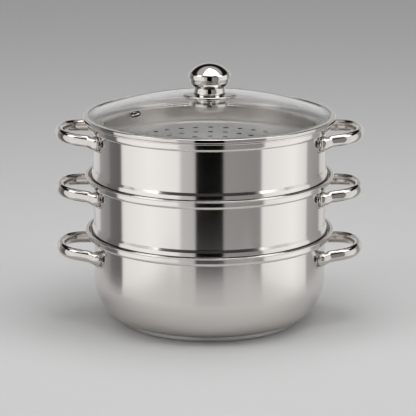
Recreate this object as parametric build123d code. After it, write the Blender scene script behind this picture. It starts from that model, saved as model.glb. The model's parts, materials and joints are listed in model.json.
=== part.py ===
from build123d import *
import os
from math import asin, cos, degrees, pi, radians, sin, sqrt

# Three-tier steamer pot in stainless steel with a glass lid. Millimetres, +Z up.
# The origin is the middle of the base, on the table. The handles lie along X.
# Each piece is one solid in its own file, and identical fasteners share a file.

# Sheet metal of the pot and the two steamer tiers
sheet = 0.8
wall_radius = 134.4
contact_gap = 0.05
fit_gap = 0.1
overrun = 20.0

# Stack heights
pot_height = 107.5
tier_pitch = 64.7

# Stepped collar and rolled lip at the top of each tier
step_width = 5.6
collar_depth = 10.5
collar_corner_radius = 3.6
step_fillet = 1.0
lip_width = 4.0
lip_height = 2.0
lip_round = 0.9
lip_inner_round = 0.6

# Flared neck of a steamer tier, which stands on the ledge inside the collar below
neck_flare = 2.6
neck_crease_inset = 0.9
neck_crease_height = 4.0
neck_top_height = 7.4
neck_bend_radius = 1.6
neck_crease_radius = 1.2

# Rounded belly of the pot: a tight arc from the floor, then a wide one up to the wall
belly_low_radius = 25.0
belly_high_radius = 58.0
belly_turn = 50.0

# Base disc of the pot
base_overhang = 4.8
base_cap_sheet = 0.6
base_core_height = 4.2
base_edge_radius = 1.6

# Perforated floor of a steamer tier
plate_sheet = 0.8
plate_drop = 30.4
plate_lip_height = 3.2
plate_corner_radius = 2.6
gutter_width = 24.0
plateau_rise = 1.4
plateau_slope = 3.0
plateau_round = 2.0
hole_radius = 3.2
hole_ring_count = 4
hole_ring_first = 11.0
hole_ring_pitch = 27.0
hole_spacing = 18.0
hole_phase = 89.0

# Loop handle, cast in one piece with its two flared feet
grip_width = 10.2
grip_height = 13.4
grip_shoulder_reach = 32.4
grip_shoulder_half = 34.9
grip_shoulder_radius = 30.0
grip_nose_reach = 39.4
grip_nose_radius = 54.0
grip_tilt = 4.6
grip_raise = 1.8

# Foot of the handle, measured from the rivet in its middle
foot_spacing = 94.0
foot_half_width = 10.6
foot_half_height = 9.0
foot_edge = 2.2
foot_edge_round = 1.2
flare_half_width = 8.6
flare_half_height = 8.2
flare_waist_reach = 5.0
flare_waist_half_width = 6.2
flare_waist_half_height = 7.1
flare_end_reach = 9.5
flare_end_half_width = 4.6
flare_end_half_height = 6.1
pot_rivet_drop = 26.2
steamer_rivet_drop = 20.6

# Wall bracket under each foot, and the rivet
bracket_half_width = 11.8
bracket_half_height = 10.0
bracket_lowering = 1.0
bracket_thickness = 1.5
pad_thickness = 1.0
pad_half_width = 9.4
pad_half_height = 7.8
rivet_radius = 2.5
rivet_head_radius = 4.2
rivet_head_height = 1.6
rivet_head_round = 0.9
rivet_bite = 4.0
rivet_end_gap = 0.5

# Glass of the lid: a dome with a flat rim inside the band
glass_thickness = 3.6
glass_rim_width = 7.2
glass_rim_overlap = 4.2
glass_edge_round = 0.8
dome_rise = 24.0
dome_foot_round = 14.0
glass_hole_radius = 4.5

# Steel band folded round the rim of the glass, with a skirt that centres the lid
band_sheet = 0.5
band_edge_gap = 0.5
band_corner_radius = 1.2
band_lip_cover = 4.4
skirt_depth = 5.0
skirt_clearance = 0.8
skirt_bend_radius = 0.8

# Steam vent through the glass
vent_reach = 101.5
vent_azimuth = 215.0
vent_bore_radius = 2.5
vent_wall = 1.0
vent_head_width = 2.5
vent_head_height = 1.5
vent_head_round = 0.6
vent_foot_width = 1.5
vent_foot_height = 0.9
vent_hole_gap = 0.3
vent_seal_thickness = 0.7
vent_seal_overhang = 0.6

# Knob above the glass, measured from the top of the dome
knob_sheet = 1.0
flange_radius = 31.2
flange_edge_rise = 0.5
flange_edge_height = 1.4
flange_edge_round = 1.2
bell_root_radius = 18.6
bell_root_rise = 1.4
bell_root_round = 1.6
knob_neck_radius = 17.4
knob_seam_rise = 8.2
knob_seam_round = 1.4
cup_waist_radius = 20.2
cup_waist_rise = 2.6
cup_belly_radius = 22.4
cup_belly_rise = 5.2
cup_rim_radius = 23.3
cup_rim_rise = 11.2
cup_round = 2.0
cap_radius = 24.6
cap_crown_radius = 31.0
cap_round = 6.0
cap_rise = 27.0
cap_foot_rise = 10.6
cap_foot_inset = 0.3
gasket_radius = 30.0
gasket_width = 6.0
insert_radius = 6.0
insert_height = 10.0

# Parts under the glass
under_gasket_radius = 16.6
under_gasket_thickness = 0.8
under_cup_sheet = 0.8
under_cup_radius = 17.9
under_cup_round = 1.6
under_cup_waist_radius = 19.0
under_cup_waist_drop = 5.4
under_cup_flare_radius = 21.4
under_cup_flare_drop = 7.0
under_cup_rim_radius = 22.2
under_cup_drop = 9.6
screw_radius = 2.5
screw_hole_gap = 0.7
screw_head_radius = 5.5
screw_head_height = 3.2
screw_head_round = 1.4
screw_slot_width = 1.2
screw_slot_depth = 1.4
screw_end_gap = 1.5

# Radii and heights that follow from the sizes above
wall_inside = wall_radius - sheet
mouth_radius = wall_radius + step_width
collar_radius = mouth_radius + sheet
neck_radius = wall_radius + neck_flare
ledge_drop = collar_depth - sheet
lower_rim = pot_height + tier_pitch
upper_rim = lower_rim + tier_pitch
pot_underside = base_cap_sheet + base_core_height
belly_low_reach = belly_low_radius * sin(radians(belly_turn))
belly_high_reach = belly_high_radius * (1 - sin(radians(belly_turn)))
flat_radius = wall_radius - belly_low_reach - belly_high_reach
base_radius = flat_radius + base_overhang
bracket_back = wall_radius + contact_gap
bracket_front = bracket_back + bracket_thickness
pad_radius = bracket_front + pad_thickness
seat_radius = pad_radius + contact_gap
foot_azimuth = degrees(asin(foot_spacing / 2 / wall_radius))
rivet_hole_radius = rivet_radius + contact_gap
glass_radius = mouth_radius + glass_rim_overlap
dome_foot_radius = glass_radius - glass_rim_width
glass_seat = upper_rim + band_sheet
glass_rim_top = glass_seat + glass_thickness
dome_top = glass_rim_top + dome_rise
dome_radius = (dome_foot_radius**2 + dome_rise**2) / (2 * dome_rise)
band_radius = glass_radius + band_edge_gap + band_sheet
skirt_radius = mouth_radius - skirt_clearance
knob_seam = dome_top + knob_seam_rise
screw_hole_radius = screw_radius + screw_hole_gap
under_cup_top = dome_top - glass_thickness - under_gasket_thickness
vent_barrel_radius = vent_bore_radius + vent_wall


def sheet_outline(line, thickness, side):
    """Section of a sheet, with the given open line as one of its two faces."""
    return make_face(offset(line, amount=thickness, side=side, closed=True).edges())


def flat_outline(*points):
    """Section with straight sides."""
    return make_face(Polyline(*points, close=True).edges())


def turned(section):
    """Solid made by turning a section of radius and height about the vertical axis."""
    return revolve(Plane.XZ * section, Axis.Z)


def disc(radius, bottom, top):
    """Upright cylinder on the axis, between two heights."""
    return Pos(0, 0, bottom) * Cylinder(radius, top - bottom, align=(Align.CENTER, Align.CENTER, Align.MIN))


def rod(radius, start, end):
    """Cylinder along +X, between two distances from the axis."""
    return Rot(0, 90, 0) * disc(radius, start, end)


def group(shapes):
    """Several separate solids that share one file."""
    return Compound(children=[solid for shape in shapes for solid in shape.solids()])


def foot_places(height):
    """Places of the four handle feet of a tier, each with +X pointing away from the pot."""
    turns = (foot_azimuth, -foot_azimuth, 180 - foot_azimuth, 180 + foot_azimuth)
    return [Pos(0, 0, height) * Rot(0, 0, turn) for turn in turns]


def collar_line(rim):
    """Outside of the stepped collar, from the wall up to the middle of the lip."""
    step = rim - collar_depth
    return (wall_radius, step), (collar_radius, step), (collar_radius, rim - lip_height / 2)


def lip_outline(rim):
    """Section of the rolled lip, rounded all round but at its inner lower corner."""
    middle = mouth_radius + lip_width / 2
    section = Pos(middle, rim - lip_height / 2) * Rectangle(lip_width, lip_height)
    section = fillet(section.vertices().group_by(Axis.X)[-1], lip_round)
    return fillet(section.vertices().sort_by_distance((mouth_radius, rim))[0], lip_inner_round)


def rivet_bores(height):
    """Cutters for the rivet holes through the wall of a tier."""
    bore = rod(rivet_hole_radius, wall_radius - overrun, wall_radius + overrun)
    return [place * bore for place in foot_places(height)]


def pot_body():
    """Drawn pot with a flat floor, a rounded belly, a stepped collar and a rolled lip."""
    floor = Line((0, pot_underside), (flat_radius, pot_underside))
    low = JernArc(floor @ 1, (1, 0), belly_low_radius, belly_turn)
    high = JernArc(low @ 1, low % 1, belly_high_radius, 90 - belly_turn)
    top = FilletPolyline(high @ 1, *collar_line(pot_height), radius=[step_fillet, collar_corner_radius])
    skin = Wire([*floor.edges(), *low.edges(), *high.edges(), *top.edges()])
    body = turned(sheet_outline(skin, sheet, Side.LEFT) + lip_outline(pot_height))
    return body - rivet_bores(pot_height - pot_rivet_drop)


def pot_base_cap():
    """Steel cup that closes the base disc, turned up to the belly."""
    run = base_radius - base_cap_sheet - flat_radius
    top = pot_underside + belly_low_radius - sqrt(belly_low_radius**2 - run**2) - contact_gap
    line = FilletPolyline((0, 0), (base_radius, 0), (base_radius, top), radius=[base_edge_radius])
    return turned(sheet_outline(line, base_cap_sheet, Side.LEFT))


def pot_base_core():
    """Aluminium disc between the pot's floor and the cap."""
    core = disc(base_radius - base_cap_sheet - fit_gap, base_cap_sheet, pot_underside)
    return fillet(core.edges().group_by(Axis.Z)[0], base_edge_radius - base_cap_sheet)


def steamer_shell(rim):
    """Ring of a steamer tier: flared neck, wall, stepped collar and rolled lip."""
    foot = rim - tier_pitch
    line = FilletPolyline(
        (neck_radius, foot - ledge_drop),
        (neck_radius, foot),
        (neck_radius - neck_crease_inset, foot + neck_crease_height),
        (wall_radius, foot + neck_top_height),
        *collar_line(rim),
        radius=[neck_bend_radius, neck_crease_radius, neck_bend_radius, step_fillet, collar_corner_radius],
    )
    shell = turned(sheet_outline(line, sheet, Side.LEFT) + lip_outline(rim))
    return shell - rivet_bores(rim - steamer_rivet_drop)


def hole_places():
    """Places of the holes in the steaming floor, on rings about the axis."""
    places = []
    for ring in range(hole_ring_count):
        radius = hole_ring_first + ring * hole_ring_pitch
        count = round(2 * pi * radius / hole_spacing)
        turns = [hole_phase + 360 * index / count for index in range(count)]
        places += [Rot(0, 0, turn) * Pos(radius, 0, 0) for turn in turns]
    return places


def steamer_plate(rim):
    """Dished floor with a raised perforated middle and an upturned lip."""
    top = rim - plate_drop
    gutter = top - plateau_rise
    lip = wall_inside - contact_gap - plate_sheet
    plateau_edge = wall_radius - gutter_width - plateau_slope
    line = FilletPolyline(
        (0, top),
        (plateau_edge, top),
        (plateau_edge + plateau_slope, gutter),
        (lip, gutter),
        (lip, gutter + plate_lip_height),
        radius=[plateau_round, plateau_round, plate_corner_radius],
    )
    plate = turned(sheet_outline(line, plate_sheet, Side.RIGHT))
    drill = disc(hole_radius, top - overrun, top + overrun)
    return plate - [place * drill for place in hole_places()]


def facing(point, direction):
    """Upright plane at a point that faces along a level direction."""
    return Plane(origin=point, x_dir=(-direction.Y, direction.X, 0), z_dir=direction)


def handle():
    """Oval loop handle at the +X side, with the middle of its rivets at height zero."""
    outward = Vector(cos(radians(foot_azimuth)), sin(radians(foot_azimuth)), 0)
    seat = outward * seat_radius
    shoulder = Vector(wall_radius + grip_shoulder_reach, grip_shoulder_half, 0)
    along = (shoulder - seat).normalized()
    start = seat - along * grip_width
    line = FilletPolyline(
        start,
        shoulder,
        (wall_radius + grip_nose_reach, 0),
        (shoulder.X, -shoulder.Y),
        (start.X, -start.Y),
        radius=[grip_shoulder_radius, grip_nose_radius, grip_shoulder_radius],
    )
    tilt = Pos(wall_radius, 0, grip_raise) * Rot(0, -grip_tilt, 0) * Pos(-wall_radius, 0, 0)
    section = facing(start, along) * Ellipse(grip_width / 2, grip_height / 2)
    grip = tilt * sweep(section, path=line)
    foot = handle_foot(seat, outward, along)
    loop = grip + foot + mirror(foot, about=Plane.XZ)
    loop -= disc(seat_radius, -overrun * 2, overrun * 2)
    bore = rod(rivet_hole_radius, seat_radius - overrun, seat_radius + rivet_bite + rivet_end_gap)
    return loop - [Rot(0, 0, turn) * bore for turn in (foot_azimuth, -foot_azimuth)]


def handle_foot(seat, outward, along):
    """Oval foot on the wall bracket, with the flare that runs into the loop."""
    oval = facing(seat, outward) * Ellipse(foot_half_width, foot_half_height)
    edge = extrude(oval, amount=foot_edge)
    edge = fillet(edge.edges().group_by(Axis((0, 0, 0), outward))[-1], foot_edge_round)
    back = extrude(oval, amount=-foot_edge)
    raised = Vector(0, 0, grip_raise)
    between = (outward + along).normalized()
    waist = seat + between * flare_waist_reach + raised / 2
    end = seat + along * flare_end_reach + raised
    flare = loft([
        facing(seat, outward) * Ellipse(flare_half_width, flare_half_height),
        facing(waist, between) * Ellipse(flare_waist_half_width, flare_waist_half_height),
        facing(end, along) * Ellipse(flare_end_half_width, flare_end_half_height),
    ])
    return edge + back + flare


def oval_layer(half_width, half_height, lowering, outside):
    """Oval cut from a curved layer of the wall bracket, out to a radius."""
    oval = extrude(Plane.YZ * Pos(0, -lowering) * Ellipse(half_width, half_height), amount=outside * 2)
    layer = disc(outside, -overrun, overrun) - disc(bracket_back, -overrun, overrun)
    return oval & layer


def bracket():
    """Wall bracket at the +X side: an oval plate with a smaller raised pad."""
    plate = oval_layer(bracket_half_width, bracket_half_height, bracket_lowering, bracket_front)
    pad = oval_layer(pad_half_width, pad_half_height, 0, pad_radius)
    return plate + pad - rod(rivet_hole_radius, 0, pad_radius + overrun)


def rivet():
    """Rivet along +X, with a flat round head inside the wall."""
    bearing = sqrt(wall_inside**2 - rivet_head_radius**2) - contact_gap
    head = rod(rivet_head_radius, bearing - rivet_head_height, bearing)
    head = fillet(head.edges().group_by(Axis.X)[0], rivet_head_round)
    return head + rod(rivet_radius, bearing - rivet_head_height / 2, seat_radius + rivet_bite)


def dome_height(radius, depth=0.0):
    """Height of the dome at a radius, on its top face or a depth below it."""
    return dome_top - dome_radius + sqrt((dome_radius - depth)**2 - radius**2)


def on_dome(shape):
    """Moves a shape built on the origin to the vent's place, square to the glass."""
    lean = degrees(asin(vent_reach / dome_radius))
    middle = Pos(0, 0, dome_top - dome_radius)
    return Rot(0, 0, vent_azimuth) * middle * Rot(0, lean, 0) * Pos(0, 0, dome_radius) * shape


def domed_line(top, corner, radius, end, rounding):
    """Arc from the axis out to a corner, then straight to its end, with the corner rounded."""
    crown = RadiusArc((0, top), corner, radius)
    line = Wire([crown, Line(corner, end)])
    return line.fillet_2d(rounding, [line.vertices().sort_by_distance(corner)[0]])


def lid_glass():
    """Domed glass with a flat rim, a hole for the knob and a hole for the vent."""
    corner = (dome_foot_radius, glass_rim_top)
    line = domed_line(dome_top, corner, dome_radius, (glass_radius, glass_rim_top), dome_foot_round)
    section = sheet_outline(line, glass_thickness, Side.RIGHT)
    section = fillet(section.vertices().group_by(Axis.X)[-1], glass_edge_round)
    glass = turned(section) - disc(glass_hole_radius, glass_seat, dome_top + overrun)
    return glass - on_dome(disc(vent_barrel_radius + vent_hole_gap, -overrun, overrun))


def lid_band():
    """Folded steel band with a skirt inside the mouth of the upper tier."""
    top = glass_rim_top + band_sheet
    line = FilletPolyline(
        (skirt_radius, upper_rim - skirt_depth),
        (skirt_radius, upper_rim),
        (band_radius, upper_rim),
        (band_radius, top),
        (glass_radius - band_lip_cover, top),
        radius=[skirt_bend_radius, band_corner_radius, band_corner_radius],
    )
    return turned(sheet_outline(line, band_sheet, Side.LEFT))


def vent_eyelet():
    """Steel eyelet clamped through the glass: head, barrel and foot."""
    head = vent_seal_thickness
    foot = -glass_thickness - fit_gap
    section = flat_outline(
        (vent_bore_radius, foot - vent_foot_height),
        (vent_barrel_radius + vent_foot_width, foot - vent_foot_height),
        (vent_barrel_radius + vent_foot_width, foot),
        (vent_barrel_radius, foot),
        (vent_barrel_radius, head),
        (vent_barrel_radius + vent_head_width, head),
        (vent_barrel_radius + vent_head_width, head + vent_head_height),
        (vent_bore_radius, head + vent_head_height),
    )
    return on_dome(turned(fillet(section.vertices().group_by(Axis.Y)[-1], vent_head_round)))


def vent_seal():
    """Dark soft ring under the head of the eyelet."""
    outside = vent_barrel_radius + vent_head_width + vent_seal_overhang
    ring = disc(outside, 0, vent_seal_thickness)
    return on_dome(ring - disc(vent_barrel_radius + contact_gap, -overrun, overrun))


def flange_height(radius):
    """Height of the top face of the knob's flange at a radius."""
    share = (radius - bell_root_radius) / (flange_radius - bell_root_radius)
    return dome_top + bell_root_rise + share * (flange_edge_rise - bell_root_rise)


def knob_base():
    """Spun steel bell with a wide flange that covers the hole in the glass."""
    edge = flange_height(flange_radius)
    line = FilletPolyline(
        (screw_hole_radius, knob_seam),
        (knob_neck_radius, knob_seam),
        (bell_root_radius, flange_height(bell_root_radius)),
        (flange_radius, edge),
        (flange_radius, edge - flange_edge_height),
        radius=[knob_seam_round, bell_root_round, flange_edge_round],
    )
    return turned(sheet_outline(line, knob_sheet, Side.RIGHT))


def knob_gasket():
    """Soft ring between the flange and the glass."""
    inner = gasket_radius - gasket_width
    section = flat_outline(
        (inner, dome_height(inner) + contact_gap),
        (gasket_radius, dome_height(gasket_radius) + contact_gap),
        (gasket_radius, flange_height(gasket_radius) - knob_sheet - contact_gap),
        (inner, flange_height(inner) - knob_sheet - contact_gap),
    )
    return turned(section)


def knob_cup():
    """Lower half of the knob."""
    line = FilletPolyline(
        (screw_hole_radius, knob_seam),
        (knob_neck_radius, knob_seam),
        (cup_waist_radius, knob_seam + cup_waist_rise),
        (cup_belly_radius, knob_seam + cup_belly_rise),
        (cup_rim_radius, knob_seam + cup_rim_rise),
        radius=[knob_seam_round, cup_round, cup_round],
    )
    return turned(sheet_outline(line, knob_sheet, Side.LEFT))


def knob_cap():
    """Domed upper half of the knob, with its edge round the rim of the cup."""
    top = knob_seam + cap_rise
    corner = top - cap_crown_radius + sqrt(cap_crown_radius**2 - cap_radius**2)
    edge = (cap_radius - cap_foot_inset, knob_seam + cap_foot_rise)
    line = domed_line(top, (cap_radius, corner), cap_crown_radius, edge, cap_round)
    return turned(sheet_outline(line, knob_sheet, Side.RIGHT))


def knob_insert():
    """Threaded insert on the floor of the knob."""
    bottom = knob_seam + knob_sheet
    body = disc(insert_radius, bottom, bottom + insert_height)
    return body - disc(screw_radius + contact_gap, bottom - overrun, bottom + overrun)


def under_gasket():
    """Soft washer between the glass and the cup under it."""
    section = flat_outline(
        (screw_hole_radius, under_cup_top),
        (under_gasket_radius, under_cup_top),
        (under_gasket_radius, dome_height(under_gasket_radius, glass_thickness) - contact_gap),
        (screw_hole_radius, dome_height(screw_hole_radius, glass_thickness) - contact_gap),
    )
    return turned(section)


def under_cup():
    """Steel cup under the glass, with a flared rim."""
    line = FilletPolyline(
        (screw_hole_radius, under_cup_top),
        (under_cup_radius, under_cup_top),
        (under_cup_waist_radius, under_cup_top - under_cup_waist_drop),
        (under_cup_flare_radius, under_cup_top - under_cup_flare_drop),
        (under_cup_rim_radius, under_cup_top - under_cup_drop),
        radius=[under_cup_round, under_cup_round / 2, under_cup_round / 2],
    )
    return turned(sheet_outline(line, under_cup_sheet, Side.RIGHT))


def knob_screw():
    """Slotted screw from under the glass up into the knob."""
    bearing = under_cup_top - under_cup_sheet
    bottom = bearing - screw_head_height
    head = disc(screw_head_radius, bottom, bearing)
    head = fillet(head.edges().group_by(Axis.Z)[0], screw_head_round)
    slot = Box(screw_head_radius * 3, screw_slot_width, screw_slot_depth * 2)
    end = knob_seam + knob_sheet + insert_height - screw_end_gap
    return head - Pos(0, 0, bottom) * slot + disc(screw_radius, bearing - screw_slot_depth, end)


def tier_fittings(name, rivet_height):
    """Handles, brackets and rivets of one tier, by file name."""
    lift = Pos(0, 0, rivet_height)
    places = foot_places(rivet_height)
    return {
        f"{name}_handle_right": lift * handle(),
        f"{name}_handle_left": lift * Rot(0, 0, 180) * handle(),
        f"{name}_brackets_right": group([place * bracket() for place in places[:2]]),
        f"{name}_brackets_left": group([place * bracket() for place in places[2:]]),
        f"{name}_rivets": group([place * rivet() for place in places]),
    }


def pieces():
    """Every piece of the pot, by file name."""
    return {
        "pot_body": pot_body(),
        "pot_base_core": pot_base_core(),
        "pot_base_cap": pot_base_cap(),
        **tier_fittings("pot", pot_height - pot_rivet_drop),
        "lower_steamer_shell": steamer_shell(lower_rim),
        "lower_steamer_plate": steamer_plate(lower_rim),
        **tier_fittings("lower_steamer", lower_rim - steamer_rivet_drop),
        "upper_steamer_shell": steamer_shell(upper_rim),
        "upper_steamer_plate": steamer_plate(upper_rim),
        **tier_fittings("upper_steamer", upper_rim - steamer_rivet_drop),
        "lid_glass": lid_glass(),
        "lid_band": lid_band(),
        "vent_eyelet": vent_eyelet(),
        "vent_seal": vent_seal(),
        "knob_base": knob_base(),
        "knob_gasket": knob_gasket(),
        "knob_cup": knob_cup(),
        "knob_cap": knob_cap(),
        "knob_insert": knob_insert(),
        "under_gasket": under_gasket(),
        "under_cup": under_cup(),
        "knob_screw": knob_screw(),
    }


os.makedirs("parts", exist_ok=True)
for name, shape in pieces().items():
    export_step(shape, f"parts/{name}.step")
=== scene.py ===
import json
from math import asin, atan2, ceil, cos, degrees, pi, radians, sin, sqrt, tan

import bmesh
import bpy
from mathutils import Matrix, Vector


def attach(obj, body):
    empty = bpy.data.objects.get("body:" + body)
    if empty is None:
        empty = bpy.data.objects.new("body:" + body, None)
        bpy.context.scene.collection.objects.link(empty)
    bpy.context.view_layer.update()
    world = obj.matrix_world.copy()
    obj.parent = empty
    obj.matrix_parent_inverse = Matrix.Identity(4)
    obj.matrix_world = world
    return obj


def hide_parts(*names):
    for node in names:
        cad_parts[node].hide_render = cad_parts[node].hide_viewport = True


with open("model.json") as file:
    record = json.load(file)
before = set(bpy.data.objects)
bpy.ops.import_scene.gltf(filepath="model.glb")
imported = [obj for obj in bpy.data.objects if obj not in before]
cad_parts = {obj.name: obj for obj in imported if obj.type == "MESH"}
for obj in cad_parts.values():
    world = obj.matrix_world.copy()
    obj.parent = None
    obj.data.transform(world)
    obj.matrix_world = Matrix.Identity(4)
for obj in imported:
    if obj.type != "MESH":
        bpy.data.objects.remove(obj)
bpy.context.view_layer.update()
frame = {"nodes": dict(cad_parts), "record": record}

# Looks of the three-tier steamer pot. Outlines are in millimetres and meshes in metres.
# The polished pieces are built again here, to the CAD outlines, with far finer facets
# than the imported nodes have, because polished steel and glass show every facet.
mm = 0.001
segments = 288
small_segments = 96
drill_segments = 64
sharp_angle = 40.0
sharp_angle_of_handles = 50.0

# Walls and lips of the three tiers, as in the CAD part
sheet = 0.8
wall = 134.4
mouth = 140.0
rims = {"pot": 107.5, "lower_steamer": 172.2, "upper_steamer": 236.9}
lip_width = 4.0
lip_height = 1.94
lip_round = 0.97
lip_inner_round = 0.7
lip_middle = 1.0
collar_depth = 10.5
collar_rounds = [1.0, 3.6]

# Belly and base of the pot
pot_floor = 4.8
belly_turn = 50.0
belly_low_radius = 25.0
belly_high_radius = 58.0
base_radius = 106.48
base_height = 5.2
base_round = 1.6
base_sheet = 0.6

# Neck of a steamer tier
tier_pitch = 64.7
neck_depth = 9.7
neck_flare = 2.6
crease_flare = 1.7
crease_height = 4.0
neck_top = 7.4
neck_rounds = [1.6, 1.2, 1.6]

# Glass of the lid
glass_thickness = 3.6
glass_radius = 144.2
glass_seat = 237.4
glass_rim_top = 241.0
glass_edge_round = 0.8
glass_hole_radius = 4.5
dome_top = 265.0
dome_radius = 403.02
dome_foot_radius = 137.0
dome_foot_round = 14.0

# Band and vent of the lid: radius and height of each corner, and roundings
band_corners = [(139.2, 231.9), (139.2, 236.9), (145.2, 236.9), (145.2, 241.5), (139.8, 241.5)]
band_rounds = [0.8, 1.2, 1.2]
band_sheet = 0.5
vent_reach = 101.5
vent_azimuth = 215.0
vent_hole_radius = 3.8
vent_corners = [
    (3.5, 0.7), (6.0, 0.7), (6.0, 2.2), (2.5, 2.2),
    (2.5, -4.6), (5.0, -4.6), (5.0, -3.7), (3.5, -3.7),
]
vent_rounds = [0.15, 0.6, 0.6, 0.1, 0.2, 0.15]
seal_corners = [(3.55, 0.0), (6.6, 0.0), (6.6, 0.7), (3.55, 0.7)]
drill_reach = 20.0

# Knob, and the cup under the glass: radius and height of each corner, and roundings
knob_seam = 273.2
bell_corners = [(3.2, knob_seam), (17.4, knob_seam), (18.6, 266.4), (31.2, 265.5), (31.2, 264.1)]
bell_rounds = [1.4, 1.6, 1.2]
cup_corners = [(3.2, knob_seam), (17.4, knob_seam), (20.2, 275.8), (22.4, 278.4), (23.3, 284.4)]
cup_rounds = [1.4, 2.0, 2.0]
knob_sheet = 1.0
cap_height = 27.0
cap_radius = 24.6
cap_crown_radius = 31.0
cap_foot = (24.3, 283.8)
cap_round = 6.0
under_cup_corners = [(3.2, 260.6), (17.9, 260.6), (19.0, 255.2), (21.4, 253.6), (22.2, 251.0)]
under_cup_rounds = [1.6, 0.8, 0.8]
under_cup_sheet = 0.8

# Loop handles. Reaches are measured from the wall, and half sizes from the middle.
rivet_drops = {"pot": 26.2, "lower_steamer": 20.6, "upper_steamer": 20.6}
rivet_half_spacing = 47.0
oval_points = 56
grip_half_width = 5.1
grip_half_height = 6.7
shoulder_reach = 32.4
shoulder_half_spacing = 34.9
nose_reach = 39.4
grip_rounds = [30.0, 54.0, 30.0]
grip_start = 10.0
grip_tilt = 4.6
grip_raise = 1.8
bracket_radius = 137.0
foot_half_width = 10.6
foot_half_height = 9.0
foot_edge = 1.0
foot_round = 1.2
flare_reach = 8.3
flare_width = 3.0
flare_height = 1.2


# Outlines

def rounded(points, radii, turn=5.0):
    """Open outline with its corners rounded to the given radii."""
    points = [Vector(point) for point in points]
    line = [points[0]]
    for before, corner, after, radius in zip(points, points[1:], points[2:], radii):
        back = (before - corner).normalized()
        ahead = (after - corner).normalized()
        half = back.angle(ahead) / 2
        centre = corner + (back + ahead).normalized() * radius / sin(half)
        start = corner + back * radius / tan(half) - centre
        sweep = pi - 2 * half
        if back.x * ahead.y - back.y * ahead.x > 0:
            sweep = -sweep
        count = max(3, ceil(abs(degrees(sweep)) / turn))
        line += [centre + Matrix.Rotation(sweep * step / count, 2) @ start for step in range(count + 1)]
    return line + [points[-1]]


def arc(centre, radius, first, last, turn=2.0):
    """Points on an arc between two angles in degrees."""
    count = max(3, ceil(abs(last - first) / turn))
    angles = [radians(first + (last - first) * step / count) for step in range(count + 1)]
    return [Vector(centre) + Vector((cos(angle), sin(angle))) * radius for angle in angles]


def domed(top, corner, radius, end, rounding):
    """Arc from the axis to a corner, then straight to its end. A negative rounding turns right."""
    corner = Vector(corner)
    end = Vector(end)
    centre = Vector((0, top - radius))
    way = (end - corner).normalized()
    left = Vector((-way.y, way.x))
    level = (corner - centre).dot(left) + rounding
    ahead = sqrt((radius + rounding)**2 - level**2)
    if (corner - centre).dot(way) < 0:
        ahead = -ahead
    middle = centre + left * level + way * ahead
    on_arc = (middle - centre).normalized() * radius
    to_arc = centre + on_arc - middle
    first = degrees(atan2(to_arc.y, to_arc.x))
    last = degrees(atan2(-left.y * rounding, -left.x * rounding))
    crown = arc(centre, radius, 90, degrees(atan2(on_arc.y, on_arc.x)), turn=0.4)
    return crown + arc(middle, abs(rounding), first, last)[1:] + [end]


def offset(line, thickness):
    """Line at a distance to the left of another, or to its right if negative."""
    other = []
    for index, point in enumerate(line):
        ways = []
        if index:
            ways.append((point - line[index - 1]).normalized())
        if index < len(line) - 1:
            ways.append((line[index + 1] - point).normalized())
        along = sum(ways, Vector((0, 0))).normalized()
        stretch = 1 / max(along.dot(ways[0]), 0.5)
        other.append(point + Vector((-along.y, along.x)) * thickness * stretch)
    return other


def thickened(line, thickness):
    """Closed outline of a sheet on one side of a line."""
    return line + offset(line, thickness)[::-1]


def braced(outline, near=0.15):
    """Adds points next to the ends of long straight runs, so that they shade flat."""
    points = []
    for start, end in zip(outline, outline[1:] + outline[:1]):
        points.append(start)
        run = end - start
        if run.length > 4 * near:
            points += [start + run.normalized() * near, end - run.normalized() * near]
    return points


# Meshes

def new_object(name, data):
    """New object in the scene."""
    made = bpy.data.objects.new(name, data)
    bpy.context.scene.collection.objects.link(made)
    return made


def new_mesh(name, bm):
    """Mesh from a bmesh, which is freed."""
    mesh = bpy.data.meshes.new(name)
    bm.to_mesh(mesh)
    bm.free()
    return mesh


def smooth(mesh, sharp):
    """Shades a mesh smooth but for edges sharper than an angle in degrees."""
    mesh.polygons.foreach_set("use_smooth", [True] * len(mesh.polygons))
    mesh.set_sharp_from_angle(angle=radians(sharp))


def mesh_piece(name, bm, material, body, replaces, sharp=sharp_angle):
    """Turns a bmesh into a smooth piece that rides on a body and stands for CAD nodes."""
    bmesh.ops.recalc_face_normals(bm, faces=bm.faces[:])
    mesh = new_mesh(name, bm)
    smooth(mesh, sharp)
    mesh.materials.append(material)
    piece = new_object(name, mesh)
    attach(piece, body)
    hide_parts(*replaces)
    return piece


def join_rings(bm, lower, upper):
    """Faces between two rings of vertices, either of which can be a single vertex."""
    count = max(len(lower), len(upper))
    for step in range(count):
        after = (step + 1) % count
        if len(lower) > 1 and len(upper) > 1:
            bm.faces.new((lower[step], lower[after], upper[after], upper[step]))
        elif len(upper) > 1:
            bm.faces.new((lower[0], upper[step], upper[after]))
        elif len(lower) > 1:
            bm.faces.new((lower[step], lower[after], upper[0]))


def add_turned(bm, outline, count=segments):
    """Adds a closed outline, turned about the vertical axis, to a bmesh."""
    turns = [2 * pi * step / count for step in range(count)]
    rings = []
    for point in braced(outline):
        if abs(point.x) < 1e-6:
            places = [(0, 0, point.y * mm)]
        else:
            places = [(point.x * cos(turn) * mm, point.x * sin(turn) * mm, point.y * mm)
                      for turn in turns]
        rings.append([bm.verts.new(place) for place in places])
    for lower, upper in zip(rings, rings[1:] + rings[:1]):
        if len(lower) > 1 or len(upper) > 1:
            join_rings(bm, lower, upper)


def turned(name, outlines, material, body, replaces, count=segments, place=None):
    """Piece made of turned outlines, moved to its place."""
    bm = bmesh.new()
    for outline in outlines:
        add_turned(bm, outline, count)
    if place:
        bmesh.ops.transform(bm, matrix=place, verts=bm.verts[:])
    return mesh_piece(name, bm, material, body, replaces)


# Materials

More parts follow.
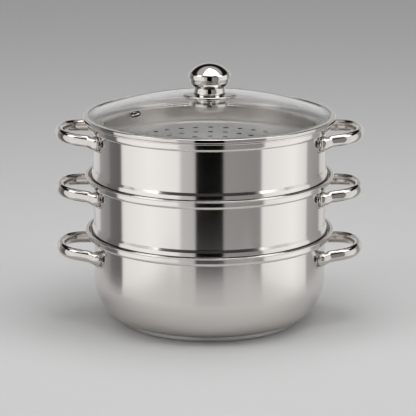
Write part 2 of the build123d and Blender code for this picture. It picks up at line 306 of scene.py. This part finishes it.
class Graph:
    """A tree of shader nodes under construction."""

    def __init__(self, tree):
        self.tree = tree

    def node(self, kind, links=None, **settings):
        """New node with its settings, and links or values for its input sockets."""
        made = self.tree.nodes.new("ShaderNode" + kind)
        for setting, value in settings.items():
            setattr(made, setting, value)
        for socket, value in (links or {}).items():
            if isinstance(value, bpy.types.NodeSocket):
                self.tree.links.new(value, made.inputs[socket])
            else:
                made.inputs[socket].default_value = value
        return made

    def math(self, operation, *values):
        """Result of a sum on sockets or numbers."""
        return self.node("Math", dict(enumerate(values)), operation=operation).outputs[0]

    def mix(self, share, first, second):
        """Blend of two colours."""
        links = {"Factor": share, "A": first, "B": second}
        return self.node("Mix", links, data_type="RGBA").outputs["Result"]


class Look(Graph):
    """A node material under construction."""

    def __init__(self, name, **values):
        self.material = bpy.data.materials.new(name)
        self.material.use_nodes = True
        super().__init__(self.material.node_tree)
        self.shader = self.tree.nodes["Principled BSDF"]
        for socket, value in values.items():
            self.shader.inputs[socket.replace("_", " ")].default_value = value

    def drive(self, socket, output):
        """Links an output to a socket of the shader."""
        self.tree.links.new(output, self.shader.inputs[socket])

    def bump(self, height, strength, distance):
        """Bump from a height socket."""
        made = self.node("Bump", {"Height": height, "Strength": strength, "Distance": distance})
        self.drive("Normal", made.outputs[0])

    def grain(self, scale):
        """Noise that stays fixed on the object."""
        return self.node("TexNoise", {"Vector": self.place(), "Scale": scale}).outputs["Fac"]

    def place(self):
        """Place on the object, in metres."""
        return self.node("TexCoord").outputs["Object"]

    def place_and_reach(self):
        """X, Y and Z on the object, and the distance from its vertical axis."""
        split = self.node("SeparateXYZ", {0: self.place()}).outputs
        flat = self.node("CombineXYZ", {"X": split["X"], "Y": split["Y"]})
        return split, self.node("VectorMath", {0: flat.outputs[0]}, operation="LENGTH").outputs["Value"]


def brushing(look, across=3.0, along=5200.0):
    """Noise in fine lines round the vertical axis."""
    split, reach = look.place_and_reach()
    turn = look.math("MULTIPLY", look.math("ARCTAN2", split["Y"], split["X"]), across)
    height = look.math("MULTIPLY", split["Z"], along)
    radius = look.math("MULTIPLY", reach, along)
    wrapped = look.node("CombineXYZ", {"X": turn, "Y": height, "Z": radius}).outputs[0]
    return look.node("TexNoise", {"Vector": wrapped, "Scale": 1.0, "Detail": 3.0}).outputs["Fac"]


def paint_hole_shade(look, colour, hole_shade=0.03, field_radius=0.105):
    """Painted shade on the cut walls of the holes in the steaming floor, which lie inside a radius in
    metres.
    """
    inside = look.math("LESS_THAN", look.place_and_reach()[1], field_radius)
    facing = look.node("SeparateXYZ", {0: look.node("NewGeometry").outputs["True Normal"]})
    # Hole walls, which face sideways, take the painted shade, dark as the space under the floor.
    edge = look.math("LESS_THAN", look.math("ABSOLUTE", facing.outputs["Z"]), 0.5)
    share = look.math("MULTIPLY", inside, edge)
    look.drive("Base Color", look.mix(share, (*colour, 1), (hole_shade, hole_shade, hole_shade, 1)))


def brushed_steel(name, colour, roughness, stretch, depth, painted_hole_shade=False):
    """Steel with fine lines round the axis, which smear reflections upright."""
    look = Look(name, Base_Color=(*colour, 1), Metallic=1.0, Roughness=roughness,
                Anisotropic=stretch, Anisotropic_Rotation=0.25)
    look.drive("Tangent", look.node("Tangent", direction_type="RADIAL", axis="Z").outputs[0])
    look.bump(brushing(look), depth, distance=0.00002)
    # Where asked, the walls of the steaming floor's holes get painted shade.
    if painted_hole_shade:
        paint_hole_shade(look, colour)
    return look.material


def polished_steel(name, colour, roughness, wave):
    """Mirror-polished steel, faintly uneven."""
    look = Look(name, Base_Color=(*colour, 1), Metallic=1.0, Roughness=roughness)
    look.bump(look.grain(60.0), wave, distance=0.0004)
    return look.material


def clear_glass(name):
    """Clear tempered glass, very slightly uneven."""
    look = Look(name, Base_Color=(0.985, 0.99, 0.99, 1), Roughness=0.0, IOR=1.5, Transmission_Weight=1.0)
    look.bump(look.grain(14.0), strength=0.02, distance=0.0005)
    return look.material


def soft_rubber(name):
    """Black silicone with a fine grain."""
    look = Look(name, Base_Color=(0.02, 0.02, 0.021, 1), Roughness=0.45)
    look.bump(look.grain(900.0), strength=0.1, distance=0.0001)
    return look.material


def matt_floor(name):
    """Pale matt surface with a faint grain."""
    look = Look(name, Base_Color=(0.72, 0.72, 0.72, 1), Roughness=0.9)
    look.bump(look.grain(300.0), strength=0.05, distance=0.0002)
    return look.material


wall_steel = brushed_steel("wall_steel", (0.765, 0.735, 0.705), roughness=0.14, stretch=0.9, depth=0.1)
# The steaming floor's steel gets painted shade on the walls of its holes.
plate_steel = brushed_steel("plate_steel", (0.9, 0.885, 0.865), roughness=0.6, stretch=0.2, depth=0.3,
                            painted_hole_shade=True)
base_steel = brushed_steel("base_steel", (0.68, 0.675, 0.665), roughness=0.28, stretch=0.7, depth=0.2)
plain_steel = brushed_steel("plain_steel", (0.6, 0.6, 0.59), roughness=0.35, stretch=0.4, depth=0.2)
aluminium = brushed_steel("aluminium", (0.75, 0.75, 0.76), roughness=0.4, stretch=0.3, depth=0.3)
bright_steel = polished_steel("bright_steel", (0.675, 0.645, 0.615), roughness=0.05, wave=0.02)
cast_steel = polished_steel("cast_steel", (0.63, 0.6, 0.57), roughness=0.06, wave=0.0)
glass = clear_glass("glass")
silicone = soft_rubber("silicone")

looks = {
    "steel_plate": plate_steel,
    "polished_steel": bright_steel,
    "handle_steel": cast_steel,
    "rivet_steel": bright_steel,
    "insert_steel": plain_steel,
    "screw_steel": plain_steel,
    "aluminium_core": aluminium,
    "dark_silicone": silicone,
}


def dress_nodes():
    """Gives each CAD node that stays the look of its material slot."""
    for subpart in frame["record"]["subparts"]:
        material = looks.get(subpart["material_slot"])
        node = frame["nodes"][subpart["node"]]
        if material:
            for place in node.material_slots:
                place.material = material
            if not node.material_slots:
                node.data.materials.append(material)


# Pot and steamer tiers

def lip(rim):
    """Closed outline of the rolled lip."""
    outer = mouth + lip_width - lip_round
    top = arc((mouth + lip_inner_round, rim - lip_inner_round), lip_inner_round, 180, 90, turn=15)
    side = arc((outer, rim - lip_round), lip_round, 90, -90, turn=10)
    return top + side + [Vector((mouth, rim - lip_height))]


def collar(rim):
    """Corners of the collar, up to the middle of the lip."""
    step = rim - collar_depth
    return [(wall, step), (mouth + sheet, step), (mouth + sheet, rim - lip_middle)]


def pot_outline():
    """Outside of the pot from the middle of its floor to its lip."""
    turn = radians(belly_turn)
    flat = wall - belly_low_radius * sin(turn) - belly_high_radius * (1 - sin(turn))
    rise = belly_low_radius * (1 - cos(turn)) + belly_high_radius * cos(turn)
    belly = arc((flat, pot_floor + belly_low_radius), belly_low_radius, -90, belly_turn - 90)
    belly += arc((wall - belly_high_radius, pot_floor + rise), belly_high_radius, belly_turn - 90, 0)[1:]
    side = rounded([belly[-1]] + collar(rims["pot"]), collar_rounds)
    return [Vector((0, pot_floor))] + belly[:-1] + side


def steamer_outline(rim):
    """Outside of a steamer ring from the end of its neck to its lip."""
    foot = rim - tier_pitch
    neck = [(wall + neck_flare, foot - neck_depth), (wall + neck_flare, foot),
            (wall + crease_flare, foot + crease_height), (wall, foot + neck_top)]
    return rounded(neck + collar(rim), neck_rounds + collar_rounds)


def make_shells():
    """Walls of the three tiers with their rolled lips, and the cap of the base."""
    shells = {"pot": (pot_outline(), "pot_body")}
    for tier in ("lower_steamer", "upper_steamer"):
        shells[tier] = (steamer_outline(rims[tier]), f"{tier}_shell")
    for tier, (line, node) in shells.items():
        outlines = [thickened(line, sheet), lip(rims[tier])]
        turned(f"{tier}_wall", outlines, wall_steel, tier, [node])
    line = rounded([(0, 0), (base_radius, 0), (base_radius, base_height)], [base_round])
    cap = thickened(line, base_sheet)
    turned("base_cap", [cap], base_steel, "pot", ["pot_base_cap"])


# Lid

def lid_glass_outline():
    """Closed outline of the glass with its hole in the middle."""
    inner = glass_radius - glass_edge_round
    line = domed(dome_top, (dome_foot_radius, glass_rim_top), dome_radius, (inner, glass_rim_top),
                 dome_foot_round)
    under = offset(line, -glass_thickness)
    line = [point for point in line if point.x > glass_hole_radius]
    under = [point for point in under if point.x > glass_hole_radius]
    edge = arc((inner, glass_rim_top - glass_edge_round), glass_edge_round, 90, 0, turn=15)
    edge += arc((inner, glass_seat + glass_edge_round), glass_edge_round, 0, -90, turn=15)
    return line[:-1] + edge + under[::-1][1:]


def vent_place():
    """Where the vent sits: square to the dome."""
    azimuth = Matrix.Rotation(radians(vent_azimuth), 4, "Z")
    lean = Matrix.Rotation(asin(vent_reach / dome_radius), 4, "Y")
    middle = Matrix.Translation((0, 0, (dome_top - dome_radius) * mm))
    out = Matrix.Translation((0, 0, dome_radius * mm))
    return azimuth @ middle @ lean @ out


def drill(piece, place, radius):
    """Cuts a round hole through a piece."""
    corners = ((0, -drill_reach), (radius, -drill_reach), (radius, drill_reach), (0, drill_reach))
    bm = bmesh.new()
    add_turned(bm, [Vector(corner) for corner in corners], drill_segments)
    bmesh.ops.transform(bm, matrix=place, verts=bm.verts[:])
    bmesh.ops.recalc_face_normals(bm, faces=bm.faces[:])
    tool = new_object("drill", new_mesh("drill", bm))
    cut = piece.modifiers.new("hole", "BOOLEAN")
    cut.operation = "DIFFERENCE"
    cut.solver = "EXACT"
    cut.object = tool
    graph = bpy.context.evaluated_depsgraph_get()
    piece_with_hole = bpy.data.meshes.new_from_object(piece.evaluated_get(graph))
    piece.modifiers.remove(cut)
    piece.data = piece_with_hole
    smooth(piece_with_hole, sharp_angle)
    bpy.data.objects.remove(tool)


def lid_sheet(name, line, thickness, node):
    """Polished sheet piece of the lid, on one side of a line."""
    turned(name, [thickened(line, thickness)], bright_steel, "lid", [node])


def make_lid():
    """Glass, band and vent of the lid."""
    dome = turned("lid_dome", [lid_glass_outline()], glass, "lid", ["lid_glass"])
    drill(dome, vent_place(), vent_hole_radius)
    lid_sheet("band", rounded(band_corners, band_rounds), band_sheet, "lid_band")
    eyelet = rounded(vent_corners, vent_rounds, turn=15)
    turned("vent", [eyelet], bright_steel, "lid", ["vent_eyelet"],
           small_segments, vent_place())
    seal = [Vector(corner) for corner in seal_corners]
    turned("vent_ring", [seal], silicone, "lid", ["vent_seal"],
           small_segments, vent_place())


def make_knob():
    """Bell, cup and cap of the knob above the glass, and the cup under it."""
    bell = rounded(bell_corners, bell_rounds)
    lid_sheet("knob_bell", bell, -knob_sheet, "knob_base")
    cup = rounded(cup_corners, cup_rounds)
    lid_sheet("knob_lower", cup, knob_sheet, "knob_cup")
    top = knob_seam + cap_height
    corner = (cap_radius, top - cap_crown_radius + sqrt(cap_crown_radius**2 - cap_radius**2))
    cap = domed(top, corner, cap_crown_radius, cap_foot, -cap_round)
    lid_sheet("knob_upper", cap, -knob_sheet, "knob_cap")
    under_cup = rounded(under_cup_corners, under_cup_rounds)
    lid_sheet("lower_cup", under_cup, -under_cup_sheet, "under_cup")


# Handles

def oval(half_width, half_height):
    """Points on an upright oval, from its top round to the right."""
    turns = [2 * pi * step / oval_points for step in range(oval_points)]
    return [Vector((half_width * sin(turn), half_height * cos(turn))) for turn in turns]


def ring(centre, facing, points):
    """Upright ring of points round a centre, square to a level direction."""
    side = Vector((-facing.y, facing.x, 0))
    return [centre + side * point.x + Vector((0, 0, point.y)) for point in points]


def foot_rings(seat, outward, along, lean):
    """Rings of the foot on the bracket and of the flare that runs into the loop."""
    rings = [ring(seat, outward, oval(foot_half_width, foot_half_height))]
    for point in rings[0]:
        across = point.x * outward.y - point.y * outward.x
        point += outward * (sqrt(bracket_radius**2 - across**2) - bracket_radius)
    for turn in (0, 30, 60, 90):
        inset = foot_round * (1 - cos(radians(turn)))
        place = seat + outward * (foot_edge + foot_round * sin(radians(turn)))
        rings.append(ring(place, outward, oval(foot_half_width - inset, foot_half_height - inset)))
    for share in (0.0, 0.1, 0.2, 0.3, 0.4, 0.55, 0.7, 0.85, 1.0):
        # The flare turns from outward to along while it narrows to the loop's section
        facing = along.lerp(outward, (1 - share)**2).normalized()
        place = seat + facing * (foot_edge + foot_round + flare_reach * share)
        flare = (1 - share)**3
        section = oval(grip_half_width + flare_width * flare, grip_half_height + flare_height * flare)
        rings.append([point.lerp(lean @ point, share) for point in ring(place, facing, section)])
    return rings


def handle_rings():
    """Rings of points for one loop handle at the +X side, with its rivets at height zero."""
    azimuth = asin(rivet_half_spacing / wall)
    outward = Vector((cos(azimuth), sin(azimuth), 0))
    seat = outward * bracket_radius
    shoulder = Vector((wall + shoulder_reach, shoulder_half_spacing, 0))
    along = (shoulder - seat).normalized()
    tilt = Matrix.Rotation(radians(-grip_tilt), 4, "Y")
    lean = Matrix.Translation((wall, 0, grip_raise)) @ tilt @ Matrix.Translation((-wall, 0, 0))
    feet = foot_rings(seat, outward, along, lean)
    start = seat + along * grip_start
    nose = (wall + nose_reach, 0)
    corners = [start.xy, shoulder.xy, nose, (shoulder.x, -shoulder.y), (start.x, -start.y)]
    path = rounded(corners, grip_rounds, turn=3)
    loop = []
    for before, place, after in zip(path, path[1:], path[2:]):
        facing = ((after - place).normalized() + (place - before).normalized()).normalized()
        section = oval(grip_half_width, grip_half_height)
        points = ring(Vector((*place, 0)), Vector((*facing, 0)), section)
        loop.append([lean @ point for point in points])
    far_feet = [[Vector((point.x, -point.y, point.z)) for point in points] for points in feet[::-1]]
    return feet + loop + far_feet


def make_handle(name, body, node, height, side):
    """One loop handle. The side is 1 for +X and -1 for -X."""
    bm = bmesh.new()
    rings = []
    for points in handle_rings():
        places = [(side * point.x * mm, side * point.y * mm, (point.z + height) * mm)
                  for point in points]
        rings.append([bm.verts.new(place) for place in places])
    for lower, upper in zip(rings, rings[1:]):
        join_rings(bm, lower, upper)
    for end in (rings[0], rings[-1]):
        bm.faces.new(end)
    mesh_piece(name, bm, cast_steel, body, [node], sharp_angle_of_handles)


def make_handles():
    """Two loop handles on each tier."""
    for tier, drop in rivet_drops.items():
        for side, sign in (("right", 1), ("left", -1)):
            make_handle(f"{tier}_loop_{side}", tier, f"{tier}_handle_{side}", rims[tier] - drop, sign)


# Studio

# Light levels round the pot, by azimuth from the camera's side in degrees
side_levels = [
    (-180, 0.75), (-154, 0.7), (-150, 0.42), (-117, 0.26), (-114, 0.16), (-97, 0.12), (-95, 0.85),
    (-60, 0.98), (-30, 0.9), (-27, 0.55), (-14.2, 0.5), (-13.2, 0.0), (13.2, 0.0), (14.2, 0.3),
    (51, 0.26), (53, 0.85), (90, 0.98), (110, 0.8), (112, 0.38), (138, 0.3), (141, 0.13),
    (172, 0.13), (180, 0.75),
]
# Share of the levels behind the pot in those round it, by the same azimuth
back_share = [(-180, 1.0), (-140, 1.0), (-136, 0.0), (136, 0.0), (140, 1.0), (180, 1.0)]
# Light levels behind the pot and overhead, and the share of those overhead, by elevation in degrees
back_levels = [(-90, 0.65), (9, 0.65), (13, 0.45), (21, 0.4), (24, 0.0), (90, 0.0)]
upper_levels = [(-90, 0.01), (46, 0.01), (52, 0.5), (90, 0.5)]
upper_share = [(-90, 0.0), (25, 0.0), (29, 1.0), (90, 1.0)]
world_strength = 1.1

# Lamps: place and target in metres, size in metres and power in watts
lamps = {
    "overhead": ((0.15, -0.1, 1.9), (0, 0, 0.1), 1.3, 14.0),
    "softbox_left": ((-1.38, -0.56, 1.49), (0, 0, 0.15), 0.9, 5.0),
    "softbox_right": ((1.38, -0.56, 1.49), (0, 0, 0.15), 0.9, 5.0),
}
# The floor is as wide as the camera sees, with its front edge just under the picture
floor_corners = [(-0.27, -0.42), (0.27, -0.42), (0.36, 0.6), (0.9, 5.0), (-0.9, 5.0), (-0.36, 0.6)]
camera_place = (0, -2.4265, 0.7315)
camera_drop = 13.93


def make_world():
    """Soft studio surroundings: light banks round the sides, a strip at the back and a ceiling."""
    world = bpy.data.worlds.new("studio")
    bpy.context.scene.world = world
    world.use_nodes = True
    graph = Graph(world.node_tree)

    def ramp(value, stops):
        """Greys that follow a value from 0 to 1."""
        node = graph.node("ValToRGB", {"Fac": value})
        elements = node.color_ramp.elements
        while len(elements) < len(stops):
            elements.new(0.5)
        for element, (place, level) in zip(elements, stops):
            element.position = place
            element.color = (level, level, level, 1)
        return node.outputs["Color"]

    split = graph.node("SeparateXYZ", {0: graph.node("TexCoord").outputs["Generated"]}).outputs
    turn = graph.math("ARCTAN2", split["X"], graph.math("MULTIPLY", split["Y"], -1.0))
    round_share = graph.node("MapRange", {"Value": turn, "From Min": -pi, "From Max": pi}).outputs[0]
    height_share = graph.node("MapRange", {"Value": split["Z"], "From Min": -1.0}).outputs[0]

    def by_azimuth(levels):
        return ramp(round_share, [((azimuth + 180) / 360, level) for azimuth, level in levels])

    def by_elevation(levels):
        return ramp(height_share, [((sin(radians(rise)) + 1) / 2, level) for rise, level in levels])

    sides = graph.mix(by_azimuth(back_share), by_azimuth(side_levels), by_elevation(back_levels))
    light = graph.mix(by_elevation(upper_share), sides, by_elevation(upper_levels))
    background = world.node_tree.nodes["Background"]
    world.node_tree.links.new(light, background.inputs["Color"])
    background.inputs["Strength"].default_value = world_strength


def make_floor():
    """Pale floor."""
    bm = bmesh.new()
    bm.faces.new([bm.verts.new((x, y, 0)) for x, y in floor_corners])
    mesh = new_mesh("floor", bm)
    floor = new_object("floor", mesh)
    mesh.materials.append(matt_floor("floor"))


def make_lamp(name, place, target, size, power):
    """Square soft lamp aimed at a point."""
    data = bpy.data.lights.new(name, "AREA")
    data.shape = "SQUARE"
    data.size = size
    data.energy = power
    lamp = new_object(name, data)
    lamp.location = place
    lamp.rotation_euler = (Vector(target) - Vector(place)).to_track_quat("-Z", "Y").to_euler()


def make_camera():
    """Camera at the photograph's viewing angle."""
    data = bpy.data.cameras.new("camera")
    data.lens = 186.2
    data.sensor_width = 36.0
    data.shift_x = -0.0036
    data.clip_end = 50.0
    camera = new_object("camera", data)
    camera.location = camera_place
    camera.rotation_euler = (radians(90 - camera_drop), 0, 0)
    bpy.context.scene.camera = camera


dress_nodes()
make_shells()
make_lid()
make_knob()
make_handles()
make_world()
make_floor()
for name, settings in lamps.items():
    make_lamp(name, *settings)
make_camera()
bpy.context.scene.view_settings.view_transform = "Standard"
